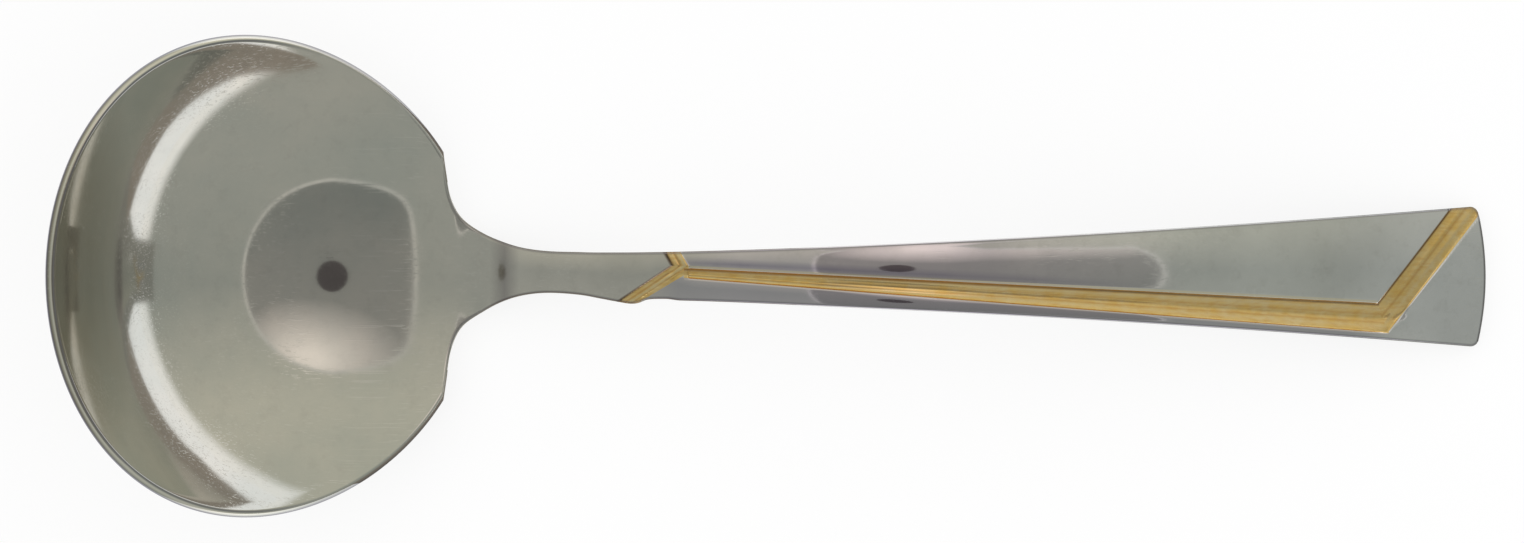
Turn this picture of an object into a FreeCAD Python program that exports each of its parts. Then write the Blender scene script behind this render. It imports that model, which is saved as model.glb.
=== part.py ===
import FreeCAD, Part
import math
import os

# Gravy ladle, stamped in one piece from stainless steel, lying as it comes to rest:
# the back of the bowl and the underside of the handle's end touch the table.
# X runs from the front of the bowl to the handle's end, Y to the left side, Z up.
# The origin is at the middle of the bounding box, on the table.

Vector = FreeCAD.Vector

# Overall
overall_length = 178.0

# Bowl, measured in its own rim plane and inside the wall
bowl_tilt = 28.5
bowl_half_length = 27.72
bowl_half_width = 29.03
bowl_depth = 13.5
rim_wall = 1.65
floor_wall = 1.3
egg = 0.08
wall_steepening = 0.13

# Shoulders and flare between the bowl and the neck
shoulder_half_width = 15.8
flare_drop_half_width = 10.0
flare_drop_run = 0.5
flare_bend_half_width = 7.75
flare_bend_run = 1.35
flare_turn_half_width = 6.5
flare_turn_run = 2.7
flare_end_half_width = 3.75
flare_end_run = 8.2
lower_side_scoop = 0.9

# Neck and handle in plan, as half widths each side of the middle line
neck_run = 19.0
lower_side_extra = 0.2
neck_half_width = 3.0
neck_scoop_half_width = 2.1
neck_scoop_run = 11.5
neck_scoop_length = 3.0
tip_half_width = 8.9
taper_power = 1.5
tip_bulge = 0.8
tip_corner_radius = 1.0

# Handle from the side: stations are measured from the front of the bowl
root_slope = 29.0
neck_bend_run = 4.9
neck_bend_radius = 16.0
apex_station = 100.0
apex_height = 20.1
apex_radius = 58.0
knee_station = 137.0
knee_height = 14.3
knee_radius = 70.0
root_thickness = 1.6
neck_thickness = 3.0
apex_thickness = 2.8
tip_thickness = 2.1
crown_drop = 0.5

# Relief on the top of the handle
groove_depth = 0.25
bead_height = 0.3
stripe_start = 77.6
stripe_end = 163.8
stripe_upper_start = 0.95
stripe_upper_end = -3.4
stripe_lower_start = -0.25
stripe_lower_end = -7.0
long_rib = 0.16
slash_rib = 0.4
slash_slope = 0.81
slash_width = 4.3
chevron_width = 1.35
chevron_throat = 2.3
chevron_upper_run = 1.2
chevron_lower_run = 7.4
chevron_foot = 3.5
chevron_foot_width = 1.1
chevron_foot_return = 1.65

# Room that cutting and trimming shapes need around the part
clear = 60.0
overlap = 2.0
root_room = 8.0
buried = 0.15
search_steps = 60


def station(distance):
    """X of a place measured from the front of the bowl."""
    return distance - overall_length / 2


def egg_reach(side, y, share):
    """X where the bowl's egg-shaped plan reaches Y: side is -1 in front, +1 behind, share 0 in, 1 out."""
    a = bowl_half_length + rim_wall * share
    b = bowl_half_width + rim_wall * share
    target = side * a * math.sqrt(1 - (y / b) ** 2)
    k = -egg / a
    return (math.sqrt(1 + 4 * k * target) - 1) / (2 * k)


def egg_square(x, y, share):
    """Square of the distance from the bowl's middle, 1 all along the plan's edge."""
    a = bowl_half_length + rim_wall * share
    skewed = x - egg * x * x / a
    return (skewed / a) ** 2 + (y / (bowl_half_width + rim_wall * share)) ** 2


def dish(x, y, share):
    """Height of the bowl's surface over its rim plane: share 0 is the inside, 1 the outside."""
    q = egg_square(x, y, share)
    depth = bowl_depth + floor_wall * share
    return depth * ((1 - wall_steepening) * q + wall_steepening * q * q - 1)


def rim_face(x, y):
    """Height of the cut across the wall at the rim, square to the wall."""
    wall_slope = 2 * bowl_depth * (1 + wall_steepening) / bowl_half_width
    return bowl_half_width / (2 * wall_slope) * (1 - egg_square(x, y, 0))


def tipped(x, z):
    """X and Z of a point of the bowl after it is tipped towards the handle."""
    t = math.radians(bowl_tilt)
    return x * math.cos(t) + z * math.sin(t), z * math.cos(t) - x * math.sin(t)


def lowest_of_bowl():
    """Height of the lowest outside point of the tipped bowl, under its rim centre."""
    low, high = 0.0, egg_reach(1, 0, 1)
    for step in range(search_steps):
        third = (high - low) / 3
        left, right = low + third, high - third
        if tipped(left, dish(left, 0, 1))[1] < tipped(right, dish(right, 0, 1))[1]:
            high = right
        else:
            low = left
    return tipped(low, dish(low, 0, 1))[1]


def outer_rim_x(side, y):
    """World X of the rim's outer edge at Y, before the bowl is set in its place."""
    inside, outside = 0.0, side * clear
    for step in range(search_steps):
        x = (inside + outside) / 2
        if rim_face(x, y) > dish(x, y, 1):
            inside = x
        else:
            outside = x
    return tipped(inside, dish(inside, y, 1))[0]


bowl_x = station(0) - outer_rim_x(-1, 0)
bowl_z = -lowest_of_bowl()
rim_back = tipped(egg_reach(1, 0, 0), 0)
root_x = bowl_x + rim_back[0]
root_z = bowl_z + rim_back[1]


def place_bowl(shape):
    """Tips a shape made in the bowl's own frame and sets it on the table."""
    shape.rotate(Vector(0, 0, 0), Vector(0, 1, 0), bowl_tilt)
    shape.translate(Vector(bowl_x, 0, bowl_z))
    return shape


def bowl_block(height, margin, depth):
    """A block from a surface over the bowl's plan up by a depth, or down if it is negative."""
    front = -bowl_half_length - rim_wall - margin
    back = bowl_half_length + rim_wall + root_room + margin
    side = bowl_half_width + rim_wall + margin
    columns, rows = 19, 17
    grid = []
    for i in range(columns):
        x = front + (back - front) * i / (columns - 1)
        row = []
        for j in range(rows):
            y = -side + 2 * side * j / (rows - 1)
            row.append(Vector(x, y, height(x, y)))
        grid.append(row)
    surface = Part.BSplineSurface()
    surface.interpolate(grid)
    return surface.toShape().extrude(Vector(0, 0, depth))


def half_width(x):
    """Half width of the handle at X, from the neck to the end."""
    start = root_x + neck_run
    t = max(0.0, (x - start) / (station(overall_length) - start))
    return neck_half_width + (tip_half_width - neck_half_width) * t ** taper_power


def shoulder_x():
    """X at which the flare leaves the rim's outer edge."""
    return bowl_x + outer_rim_x(1, shoulder_half_width)


def shoulder(side):
    return Vector(shoulder_x(), side * shoulder_half_width, 0)


def flare_points(side, scoop):
    """The concave edge from under a shoulder to the neck, which is scooped deeper on one side."""
    start = shoulder_x()
    return [
        Vector(start + flare_drop_run, side * flare_drop_half_width, 0),
        Vector(start + flare_bend_run, side * (flare_bend_half_width - scoop / 2), 0),
        Vector(start + flare_turn_run, side * (flare_turn_half_width - scoop), 0),
        Vector(start + flare_end_run, side * (flare_end_half_width - scoop), 0),
    ]


def chevron_foot_x():
    """X of the flat place where the lower leg of the chevron reaches past the edge."""
    return station(stripe_start) - chevron_lower_run


def spline(points):
    curve = Part.BSplineCurve()
    curve.interpolate(points)
    return curve.toShape()


def line(a, b):
    return Part.LineSegment(a, b).toShape()


def edge_points(start, stop, side, extra):
    """Points of the handle's long tapered edge, on the side given by the sign of side."""
    spread = [start + (stop - start) * i / 5 for i in range(6)]
    return [Vector(x, side * (half_width(x) + extra), 0) for x in spread]


def handle_outline():
    """Closed outline seen from above, from the shoulders to the handle's end."""
    end = station(overall_length)
    corner = end - tip_bulge
    upper = edge_points(root_x + neck_run, corner, 1, 0)
    flare = flare_points(1, 0) + [upper[0]]
    foot = chevron_foot_x()
    scoop = flare_points(-1, lower_side_scoop)
    scoop.append(Vector(shoulder_x() + neck_scoop_run, -neck_scoop_half_width, 0))
    scoop.append(Vector(shoulder_x() + neck_scoop_run + neck_scoop_length, -neck_scoop_half_width, 0))
    scoop.append(Vector(foot, -chevron_foot, 0))
    step = foot + chevron_foot_width
    lower = edge_points(step + chevron_foot_return, corner, -1, lower_side_extra)
    lower[0].y = lower_side_extra - neck_half_width
    edges = [
        line(shoulder(1), flare[0]),
        spline(flare),
        spline(upper),
        Part.Arc(upper[-1], Vector(end, 0, 0), lower[-1]).toShape(),
        spline(lower),
        line(lower[0], Vector(step, -chevron_foot, 0)),
        line(Vector(step, -chevron_foot, 0), scoop[-1]),
        spline(scoop),
        line(scoop[0], shoulder(-1)),
        line(shoulder(-1), shoulder(1)),
    ]
    return Part.Wire(edges)


def upright(wire, bottom, height):
    """A prism standing on a flat closed outline."""
    wire.translate(Vector(0, 0, bottom))
    return Part.Face(wire).extrude(Vector(0, 0, height))


def polygon(points):
    return Part.makePolygon([Vector(x, y, 0) for x, y in points + points[:1]])


def bowl_wall():
    """The dished wall, in the bowl's own frame, higher than the rim all round."""
    def outside(x, y):
        return dish(x, y, 1)

    def inside(x, y):
        return dish(x, y, 0)

    return bowl_block(outside, overlap, 2 * clear).cut(bowl_block(inside, 2 * overlap, 2 * clear))


def bowl_with_root(plan):
    """The bowl, and past its shoulders the same dished wall running out into the flare."""
    dished = bowl_wall()
    bowl = place_bowl(dished.common(bowl_block(rim_face, 3 * overlap, -2 * clear)))
    start = shoulder_x()
    root_end = root_x + neck_bend_run
    front = Part.makeBox(2 * clear, 2 * clear, 2 * clear, Vector(start - 2 * clear, -clear, -clear))
    behind = Part.makeBox(root_end - start, 2 * clear, 2 * clear, Vector(start, -clear, -clear))
    root = place_bowl(dished).common(behind).common(plan)
    return bowl.common(front).fuse(root)


def crest_corners():
    """Corners of the handle's top line, their rounding radii and the thickness under them."""
    slope = math.tan(math.radians(root_slope))
    return [
        (root_x - overlap, root_z - overlap * slope - buried, 0, root_thickness),
        (root_x + neck_bend_run, root_z + neck_bend_run * slope, neck_bend_radius, neck_thickness),
        (station(apex_station), apex_height, apex_radius, apex_thickness),
        (station(knee_station), knee_height, knee_radius, (apex_thickness + tip_thickness) / 2),
        (station(overall_length), tip_thickness, 0, tip_thickness),
    ]


def rounded_height(x, corners):
    """Height of a line of straight runs with rounded corners."""
    for (x0, z0), (x1, z1) in zip(corners, corners[1:]):
        if x <= x1:
            return z0 + (z1 - z0) * (x - x0) / (x1 - x0)
    return z1


def crest(x):
    """Height of the handle's top line at X, with its bends rounded by parabolas."""
    corners = crest_corners()
    height = rounded_height(x, [(c[0], c[1]) for c in corners])
    for before, here, after in zip(corners, corners[1:], corners[2:]):
        slope_in = (here[1] - before[1]) / (here[0] - before[0])
        slope_out = (after[1] - here[1]) / (after[0] - here[0])
        reach = here[2] * abs(slope_in - slope_out) / 2
        off = abs(x - here[0])
        if off < reach:
            height += (slope_out - slope_in) * (reach - off) ** 2 / (4 * reach)
    return height


def thickness(x):
    corners = crest_corners()
    return rounded_height(x, [(c[0], c[3]) for c in corners])


def under_handle_surface(height, margin, depth):
    """A block under a surface that runs along the handle, as wide as the handle and a margin."""
    start = root_x - margin
    stop = station(overall_length) + margin
    columns, rows = 45, 7
    grid = []
    for i in range(columns):
        x = start + (stop - start) * i / (columns - 1)
        side = half_width(x) + margin
        row = []
        for j in range(rows):
            y = -side + 2 * side * j / (rows - 1)
            row.append(Vector(x, y, height(x, y)))
        grid.append(row)
    surface = Part.BSplineSurface()
    surface.interpolate(grid)
    return surface.toShape().extrude(Vector(0, 0, -depth))


def handle_bar(lift):
    """The handle between its crowned top and its flat underside, a little wider than its outline."""
    def top(x, y):
        return crest(x) - crown_drop * (y / half_width(x)) ** 2 + lift

    def underside(x, y):
        return crest(x) - thickness(x)

    block = under_handle_surface(top, overlap, clear)
    return block.cut(under_handle_surface(underside, 2 * overlap, 2 * clear))


def stripe_side(x, share):
    """Y of the long stripe at X: share 0 is its lower edge, 1 its upper edge."""
    t = (x - station(stripe_start)) / (stripe_end - stripe_start)
    lower = stripe_lower_start + (stripe_lower_end - stripe_lower_start) * t
    upper = stripe_upper_start + (stripe_upper_end - stripe_upper_start) * t
    return lower + (upper - lower) * share


def slash_side(y, offset):
    """X of the slanting stripe's near edge at Y, moved along the handle by offset."""
    return station(stripe_end) + slash_slope * (y - stripe_upper_end) + offset


def long_groove(low_share, high_share):
    """One lengthwise groove between two shares of the stripe's width, running into the slanting stripe."""
    start = station(stripe_start) - chevron_width / 2
    end = station(stripe_end)
    return polygon([
        (start, stripe_side(start, low_share)),
        (end, stripe_side(end, low_share)),
        (end + slash_width / 2, stripe_side(end, low_share)),
        (end + slash_width / 2, stripe_side(end, high_share)),
        (end, stripe_side(end, high_share)),
        (start, stripe_side(start, high_share)),
    ])


def slash_groove(offset, width):
    """One groove of the slanting stripe, from the long stripe to past the handle's edge."""
    low = stripe_lower_end
    high = tip_half_width + overlap
    return polygon([
        (slash_side(low, offset), low),
        (slash_side(low, offset + width), low),
        (slash_side(high, offset + width), high),
        (slash_side(high, offset), high),
    ])


def chevron_outline():
    """Arrow-shaped bead pointing at the handle's end, past both edges of the handle."""
    tip = station(stripe_start) + chevron_width / 2
    middle = stripe_upper_start
    top = neck_half_width + overlap
    top_run = chevron_upper_run * (top - middle) / (neck_half_width - middle)
    low = -chevron_foot - overlap
    low_run = chevron_lower_run * (middle - low) / (middle + chevron_foot)
    return polygon([
        (tip, middle),
        (tip - top_run, top),
        (tip - top_run - chevron_width, top),
        (tip - chevron_throat, middle),
        (tip - low_run - chevron_width, low),
        (tip - low_run + chevron_width, low),
    ])


def prism(wire):
    return upright(wire, -clear, 2 * clear)


def ladle_plan():
    """The outline as a tall prism, with the corners of the handle's end rounded."""
    plan = prism(handle_outline())
    corner = station(overall_length) - tip_bulge
    corners = [edge for edge in plan.Edges
               if abs(edge.BoundBox.XMin - corner) < tip_bulge / 5 and edge.BoundBox.XLength < tip_bulge / 5
               and edge.BoundBox.ZLength > clear]
    return plan.makeFillet(tip_corner_radius, corners)


def handle(plan):
    """The handle with its sunk stripes and the raised chevron."""
    flute = (slash_width - slash_rib) / 2
    grooves = prism(long_groove(0, 0.5 - long_rib / 2))
    grooves = grooves.fuse(prism(long_groove(0.5 + long_rib / 2, 1)))
    grooves = grooves.fuse(prism(slash_groove(0, flute)))
    grooves = grooves.fuse(prism(slash_groove(flute + slash_rib, flute)))
    bead = handle_bar(bead_height).common(prism(chevron_outline())).common(plan)
    return handle_bar(0).common(plan).cut(grooves.cut(handle_bar(-groove_depth))).fuse(bead)


def ladle():
    plan = ladle_plan()
    return bowl_with_root(plan).fuse(handle(plan)).Solids[0]


def main():
    os.makedirs("parts", exist_ok=True)
    shape = ladle()
    print("solids", len(shape.Solids), "faces", len(shape.Faces), "valid", shape.isValid(), "volume", shape.Volume)
    print("box", shape.BoundBox)
    shape.exportStep("parts/ladle.step")


main()
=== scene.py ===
# Looks of the gravy ladle: a fine mesh that stands for the solid, its steel and gold,
# the studio that the steel mirrors, the table and the camera.
import math

import bpy
import numpy as np
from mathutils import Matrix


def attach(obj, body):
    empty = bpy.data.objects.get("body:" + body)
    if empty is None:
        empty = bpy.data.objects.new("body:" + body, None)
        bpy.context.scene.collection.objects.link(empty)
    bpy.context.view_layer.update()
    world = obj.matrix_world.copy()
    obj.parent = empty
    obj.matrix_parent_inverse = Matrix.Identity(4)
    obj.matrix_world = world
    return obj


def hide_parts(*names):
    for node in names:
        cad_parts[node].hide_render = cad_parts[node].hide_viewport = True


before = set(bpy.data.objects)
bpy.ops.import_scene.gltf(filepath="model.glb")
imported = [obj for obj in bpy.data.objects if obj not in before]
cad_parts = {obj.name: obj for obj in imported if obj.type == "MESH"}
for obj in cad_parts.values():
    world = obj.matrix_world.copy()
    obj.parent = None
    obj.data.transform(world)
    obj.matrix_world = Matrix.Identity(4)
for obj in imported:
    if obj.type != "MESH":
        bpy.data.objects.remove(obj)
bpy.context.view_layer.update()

# Sizes are in millimetres in the part's own frame, and become metres in the mesh.
MM = 0.001

# Bowl, in its own rim plane
TILT = math.radians(28.5)
HALF_LENGTH = 27.72
HALF_WIDTH = 29.03
DEPTH = 13.5
EGG = 0.08
STEEPENING = 0.13
RIM_WALL = 1.65
FLOOR_WALL = 1.3
RIM_ROUND = 0.4
RIM_REACH = 4.0
FRONT_X = -89.0
FRONT_CORNER = math.radians(128.0)
DISH_SPAN = (-34.0, 60.0)

# Handle from the side: x, height, rounding radius of each bend, and thickness
END_X = 89.0
ROOT_SLOPE = math.tan(math.radians(29.0))
ROOT_LEAD = 2.0
ROOT_SINK = 0.15
ROOT_THICKNESS = 1.6
BEND_RUN = 4.9
NECK_BEND = (16.0, 3.0)
APEX = (11.0, 20.1, 58.0, 2.8)
KNEE = (48.0, 14.3, 70.0, 2.45)
TIP_THICKNESS = 2.1
BLEND_START = -3.5
BLEND_RUN = 10.0

# Handle from above: the flare's two sides, and the foot of the chevron that stands out below
UPPER_FLARE = [(-42.60, 15.84), (-42.30, 13.2), (-41.72, 9.8), (-40.44, 7.42), (-37.93, 5.53),
               (-35.42, 4.40), (-32.9, 3.62), (-29.7, 3.16), (-25.3, 3.0), (-21.5, 2.92)]
LOWER_FLARE = [(-42.60, -15.84), (-42.30, -13.4), (-41.72, -9.3), (-40.44, -6.53), (-37.93, -4.64),
               (-35.42, -3.30), (-32.9, -2.50), (-29.7, -2.12), (-25.3, -2.36), (-22.5, -2.85)]
FOOT = [(-24.5, -2.48), (-22.5, -2.85), (-20.3, -3.25), (-18.9, -3.45), (-18.0, -3.38),
        (-16.8, -2.95), (-14.5, -2.85), (-12.5, -2.92)]
NECK_JOIN = -23.5
UPPER_JOIN_HALF = 2.0
LOWER_JOIN_HALF = 0.8
FOOT_JOIN = -13.5
FOOT_JOIN_HALF = 1.0
TAPER_X = -19.4
NECK_HALF_WIDTH = 2.95
TIP_HALF_WIDTH = 8.92
TAPER_POWER = 1.5
LOWER_EXTRA = 0.15
TIP_BULGE = 0.8
TIP_CORNER = 1.1
EDGE_ROUND = 0.38
SHOULDER_FADE = (-1.6, 0.1)

# Stripe, slash and chevron on the handle's top
STRIPE_X = (-11.6, 74.8)
STEP_Y = (0.95, -3.4)
GOLD_Y = (-0.25, -7.05)
SLASH_SLOPE = 0.81
SLASH_SQUARE = 0.78
SLASH_WIDTH = 4.35
SLASH_STOP = 88.35
RECESS = 0.22
FLUTES = 3
FLUTE_DEPTH = 0.05
MITRE = 0.383
RELIEF_WALL = 0.2
CHEVRON_LEFT = (-13.62, 1.33)
CHEVRON_RIGHT = (-11.6, 1.2)
CHEVRON_LOW_LEAN = 1.517
CHEVRON_HIGH_LEAN = 0.58
CHEVRON_LOW_SQUARE = 0.55
CHEVRON_HIGH_SQUARE = 0.86
CHEVRON_RISE = 0.25
CHEVRON_GROOVE_WIDTH = 0.09
CHEVRON_GROOVE_DEPTH = 0.1
CHEVRON_GOLD = (-12.23, 0.08)
CHEVRON_GOLD_LEAN = 1.67
FOOT_START = -22.0

# Facets beside the stripe: their crest lines, how round they are, and where they begin and end
FACET_X = (-17.0, -10.0)
FACET_TOP_Y = 1.0
FACET_TOP_LEAN = 0.0158
UPPER_ROUNDNESS = 1.9
UPPER_MOST_DROP = 0.9
LOWER_ROUNDNESS = 1.95
LOWER_TOP_SHARE = 0.45
LOWER_DROP = 0.06
NECK_CROWN = 0.4
TIP_CROWN = 56.0
TIP_DROP = 0.1
TIP_FADE = (-3.0, 2.0)

# Mesh density, and the steps of the lines and slopes it is worked out from
COLUMN_RUNS = [18, 3, 18, 3, 14]
COLUMNS = sum(COLUMN_RUNS)
COLUMN_FADE_X = (-21.0, -13.0)
BOWL_ROWS = 130
FLARE_ROWS = 84
HANDLE_START = -21.4
CHEVRON_END = -10.6
SLASH_START = 56.0
CHEVRON_STEP = 0.11
STRIPE_STEP = 0.62
SLASH_STEP = 0.45
LAST_ROW_GAP = 0.4
LEAN_X = (15.0, 55.0)
END_ROWS = 132
EDGE_STEPS = 5
HALVINGS = 46
SLOPE_STEP = 1e-4
CURVE_STEPS = 60
SIDE_STEP = 0.1

# Painted shade and highlight lines round the edge: where their tones change along x, and the tone of each
# ring at the front, rear and handle
RIM_TONES = (-66.0, -56.0, -43.5, -41.0)
EDGE_RINGS = [(0.3, 0.5, 0.3), (0.12, 0.5, 0.15), (0.3, 0.5, 0.4), (0.85, 0.45, 0.8), (1.0, 0.4, 0.9),
              (0.2, 0.12, 0.9), (0.05, 0.1, 0.8), (0.05, 0.1, 0.6), (0.1, 0.2, 0.5), (0.3, 0.4, 0.5)]
EDGE_PAINTED_SHADE = (0.21, 0.205, 0.25, 1.0)
EDGE_PAINTED_HIGHLIGHT = (0.97, 0.95, 0.86, 1.0)

# Steel: dark and light patches in the bowl, then where along x each other pair takes over, as painted
# reflection tints of what each part mirrors
STEEL_BOWL = ((0.635, 0.655, 0.62, 1.0), (0.765, 0.745, 0.69, 1.0))
STEEL_PAINTED_REFLECTIONS = [
    ((-46.0, -34.0), (0.70, 0.685, 0.645, 1.0), (0.83, 0.805, 0.765, 1.0)),
    ((-13.0, -6.0), (0.72, 0.68, 0.72, 1.0), (0.88, 0.82, 0.84, 1.0)),
    ((20.0, 50.0), (0.69, 0.705, 0.69, 1.0), (0.83, 0.845, 0.83, 1.0)),
    ((68.0, 80.0), (0.81, 0.825, 0.845, 1.0), (0.96, 0.97, 0.99, 1.0)),
]
# Painted dark reflection, brown, towards the bowl's front end
FRONT_PAINTED_DARK = (0.47, 0.44, 0.37, 1.0)
FRONT_PAINTED_DARK_X = (-80.0, -85.0)
NECK_SHADE = (0.34, 0.31, 0.33, 1.0)
NECK_SHADE_X = -34.9
NECK_SHADE_HALF = 1.9
MOTTLE = (0.52, 0.51, 0.48, 1.0)
SCRATCH = (0.84, 0.83, 0.80, 1.0)
# Painted shade on the lower facet and above the step, and a painted highlight under the gold's lower edge
LOWER_FACET_PAINTED_SHADE = (0.58, 0.565, 0.63, 1.0)
LOWER_FACET_PAINTED_SHADE_X = (-18.0, -13.0)
ABOVE_STEP_PAINTED_SHADE = (0.40, 0.36, 0.50, 1.0)
ABOVE_STEP_PAINTED_SHADE_X = (45.0, 20.0)
GOLD_EDGE_PAINTED_HIGHLIGHT = (0.95, 0.86, 0.85, 1.0)

# Gold film, with painted shade and painted highlight colours for the lines on its relief and in its step
GOLD = (1.0, 0.68, 0.23, 1.0)
GOLD_WORN = (1.0, 0.79, 0.43, 1.0)
GOLD_STREAK = (0.84, 0.49, 0.14, 1.0)
GOLD_PAINTED_SHADE = (0.62, 0.30, 0.07, 1.0)
PALE_GOLD_AND_PAINTED_HIGHLIGHT = (1.0, 0.88, 0.60, 1.0)
GOLD_LEAD = 0.6
GOLD_OVERLAP = 0.05
STEP_SHADE_ORANGE = (0.42, 0.20, 0.07, 1.0)
STEP_SHADE = (0.20, 0.11, 0.07, 1.0)
STEP_SHADE_X = (20.0, 44.0)

# Patterns on the metal: how many waves of each go to a metre, and the runs of the scratches
HAZE_SCALE = 95.0
CLOUD_SCALE = 55.0
WAVE_SCALE = 210.0
WEAR_SCALE = 420.0
MOTTLE_SCALE = 480.0
FINE_SCALE = 2600.0
STREAK_ANGLE = -3.0
STREAK_SCALE = (60.0, 2600.0, 2600.0)
SCRATCH_RUNS = [(-38.0, (42.0, 4200.0, 4200.0), 0.66), (-75.0, (36.0, 3900.0, 3900.0), 0.70),
                (63.0, (50.0, 4700.0, 4700.0), 0.68)]
BUMP_STRENGTH = 0.12
BUMP_DEPTH = 0.00006

# Camera, in metres
CAMERA = (-0.0025, 0.00057, 0.600)
VIEW_WIDTH = 0.19324
SENSOR = 36.0
NEAREST = 0.02

# What the steel mirrors: a lens, a hood with a lamp in it, and a bright band along the hood, in metres
LENS_HALF = (0.050, 0.063)
LENS_LIFT = 0.008
LENS_TONE = (0.085, 0.075, 0.075, 1.0)
HOOD_RADIUS = 0.395
HOOD_HALF_WIDTH = 0.465
HOOD_FLAT = 0.245
HOOD_CORNER = 9.0
HOOD_LIFT = 0.012
HOOD_TONES = ((0.225, 0.23, 0.215, 1.0), (0.29, 0.28, 0.26, 1.0))
HOOD_TONE_Y = (-0.3, 0.3)
LAMP_PLACE = (0.09, 0.39)
LAMP_HALF = (0.34, 0.30)
LAMP_TONE = (0.90, 0.82, 0.75, 1.0)
BAND_INNER = 0.955
BAND_DROP = -0.002
BAND_TONE = (0.56, 0.545, 0.505, 1.0)
OUTLINE_POINTS = 96

# Top lines of the dark cards beside the bowl, which paint shade into its reflections where the bowl mirrors
# itself, and the grey one behind and under the handle, in millimetres
CARD_UPPER = [(-52.5, -45.0, 22.5), (-48.0, -45.0, 23.5), (-44.5, -45.0, 22.0), (-34.0, -45.0, 13.5),
              (-24.0, -45.0, 7.5), (-14.0, -45.0, 3.0), (0.0, -45.0, 0.5)]
CARD_LOWER = [(-42.0, 45.0, 7.0), (-33.0, 45.0, 7.0), (-22.0, 45.0, 6.5), (-12.0, 45.0, 3.0),
              (0.0, 45.0, 0.5)]
CARD_FAR = [[(150.0, -38.0, 48.0), (150.0, 27.0, 48.0)], [(150.0, -38.0, 0.3), (150.0, 27.0, 0.3)],
            [(-8.0, -15.0, 0.3), (-8.0, 13.0, 0.3)], [(-38.0, -13.0, 0.3), (-38.0, 12.0, 0.3)]]
CARD_FOOT_Y = 12.0
CARD_FOOT_Z = 0.3
# Painted shade: the tone of the cards that stand in for the bowl mirroring itself
PAINTED_SHADE_CARD = (0.27, 0.24, 0.205, 1.0)
FAR_CARD = (0.235, 0.23, 0.205, 1.0)

# Studio walls as the steel mirrors them, by the height and side of a direction, and the table
HORIZON_TONE = (1.0, 0.985, 0.96, 1.0)
HORIZON_HEIGHT = (0.05, 0.12)
WALL_TONE = (0.325, 0.335, 0.305, 1.0)
WALL_BELOW = (0.375, 0.38, 0.345, 1.0)
WALL_BELOW_Y = (0.0, -0.7)
WALL_ABOVE = (0.54, 0.525, 0.445, 1.0)
WALL_ABOVE_Y = (0.05, 0.75)
WHITE = (1.0, 1.0, 1.0, 1.0)
FLOOR_HALF = 4.0
FLOOR_DROP = 0.0001
FLOOR_TONE = (0.985, 0.985, 0.985, 1.0)
FLOOR_GRAIN_SCALE = 30.0
FLOOR_GLOW = 0.8


def smoothstep(low, high, value):
    """0 below low, 1 above high and an even ease between them."""
    t = np.clip((value - low) / (high - low), 0.0, 1.0)
    return t * t * (3.0 - 2.0 * t)


def mix(a, b, share):
    return a + (b - a) * share


def unit(vectors):
    return vectors / np.linalg.norm(vectors, axis=-1, keepdims=True)


def egg_x(cosine):
    """X on the egg-shaped plan of the bowl for a cosine of the angle round it."""
    k = -EGG / HALF_LENGTH
    return (np.sqrt(1.0 + 4.0 * k * cosine * HALF_LENGTH) - 1.0) / (2.0 * k)


def egg_square(x, y, share):
    """Square of the share of the way out from the bowl's middle, which is 1 at the rim."""
    a = HALF_LENGTH + RIM_WALL * share
    b = HALF_WIDTH + RIM_WALL * share
    return ((x - EGG * x * x / a) / a) ** 2 + (y / b) ** 2


def dish(x, y, share):
    """Height of the bowl's inside (share 0) or outside (share 1) over its rim plane."""
    q = egg_square(x, y, share)
    return (DEPTH + FLOOR_WALL * share) * ((1.0 - STEEPENING) * q + STEEPENING * q * q - 1.0)


def dish_slope(x, y):
    """How steeply the bowl's inside climbs along x and along y."""
    along_x = dish(x + SLOPE_STEP, y, 0.0) - dish(x - SLOPE_STEP, y, 0.0)
    along_y = dish(x, y + SLOPE_STEP, 0.0) - dish(x, y - SLOPE_STEP, 0.0)
    return along_x / (2.0 * SLOPE_STEP), along_y / (2.0 * SLOPE_STEP)


def rim_face(x, y):
    """Height of the rim's edge face, square to the wall."""
    slope = 2.0 * DEPTH * (1.0 + STEEPENING) / HALF_WIDTH
    return HALF_WIDTH / (2.0 * slope) * (1.0 - egg_square(x, y, 0.0))


def tipped(p):
    """Points of the bowl's frame after it is tipped towards the handle."""
    x, y, z = p[..., 0], p[..., 1], p[..., 2]
    forward = x * math.cos(TILT) + z * math.sin(TILT)
    return np.stack([forward, y, z * math.cos(TILT) - x * math.sin(TILT)], -1)


def halve(low, high, is_low):
    """The value between low and high where is_low turns from true to false."""
    for _ in range(HALVINGS):
        middle = (low + high) / 2.0
        below = is_low(middle)
        low = np.where(below, middle, low)
        high = np.where(below, high, middle)
    return (low + high) / 2.0


def rim_points(angle):
    """Inner and outer edge of the rim's face and the wall's outward direction, in the bowl's frame."""
    x, y = egg_x(np.cos(angle)), HALF_WIDTH * np.sin(angle)
    slope_x, slope_y = dish_slope(x, y)
    steep = np.hypot(slope_x, slope_y)
    out_x, out_y = slope_x / steep, slope_y / steep

    def inside(run):
        px, py = x + out_x * run, y + out_y * run
        return rim_face(px, py) > dish(px, py, 1.0)

    run = halve(np.zeros_like(x), np.full_like(x, RIM_REACH), inside)
    outer_x, outer_y = x + out_x * run, y + out_y * run
    inner = np.stack([x, y, 0.0 * x], -1)
    outer = np.stack([outer_x, outer_y, rim_face(outer_x, outer_y)], -1)
    return inner, outer, unit(np.stack([out_x, out_y, steep], -1))


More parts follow.
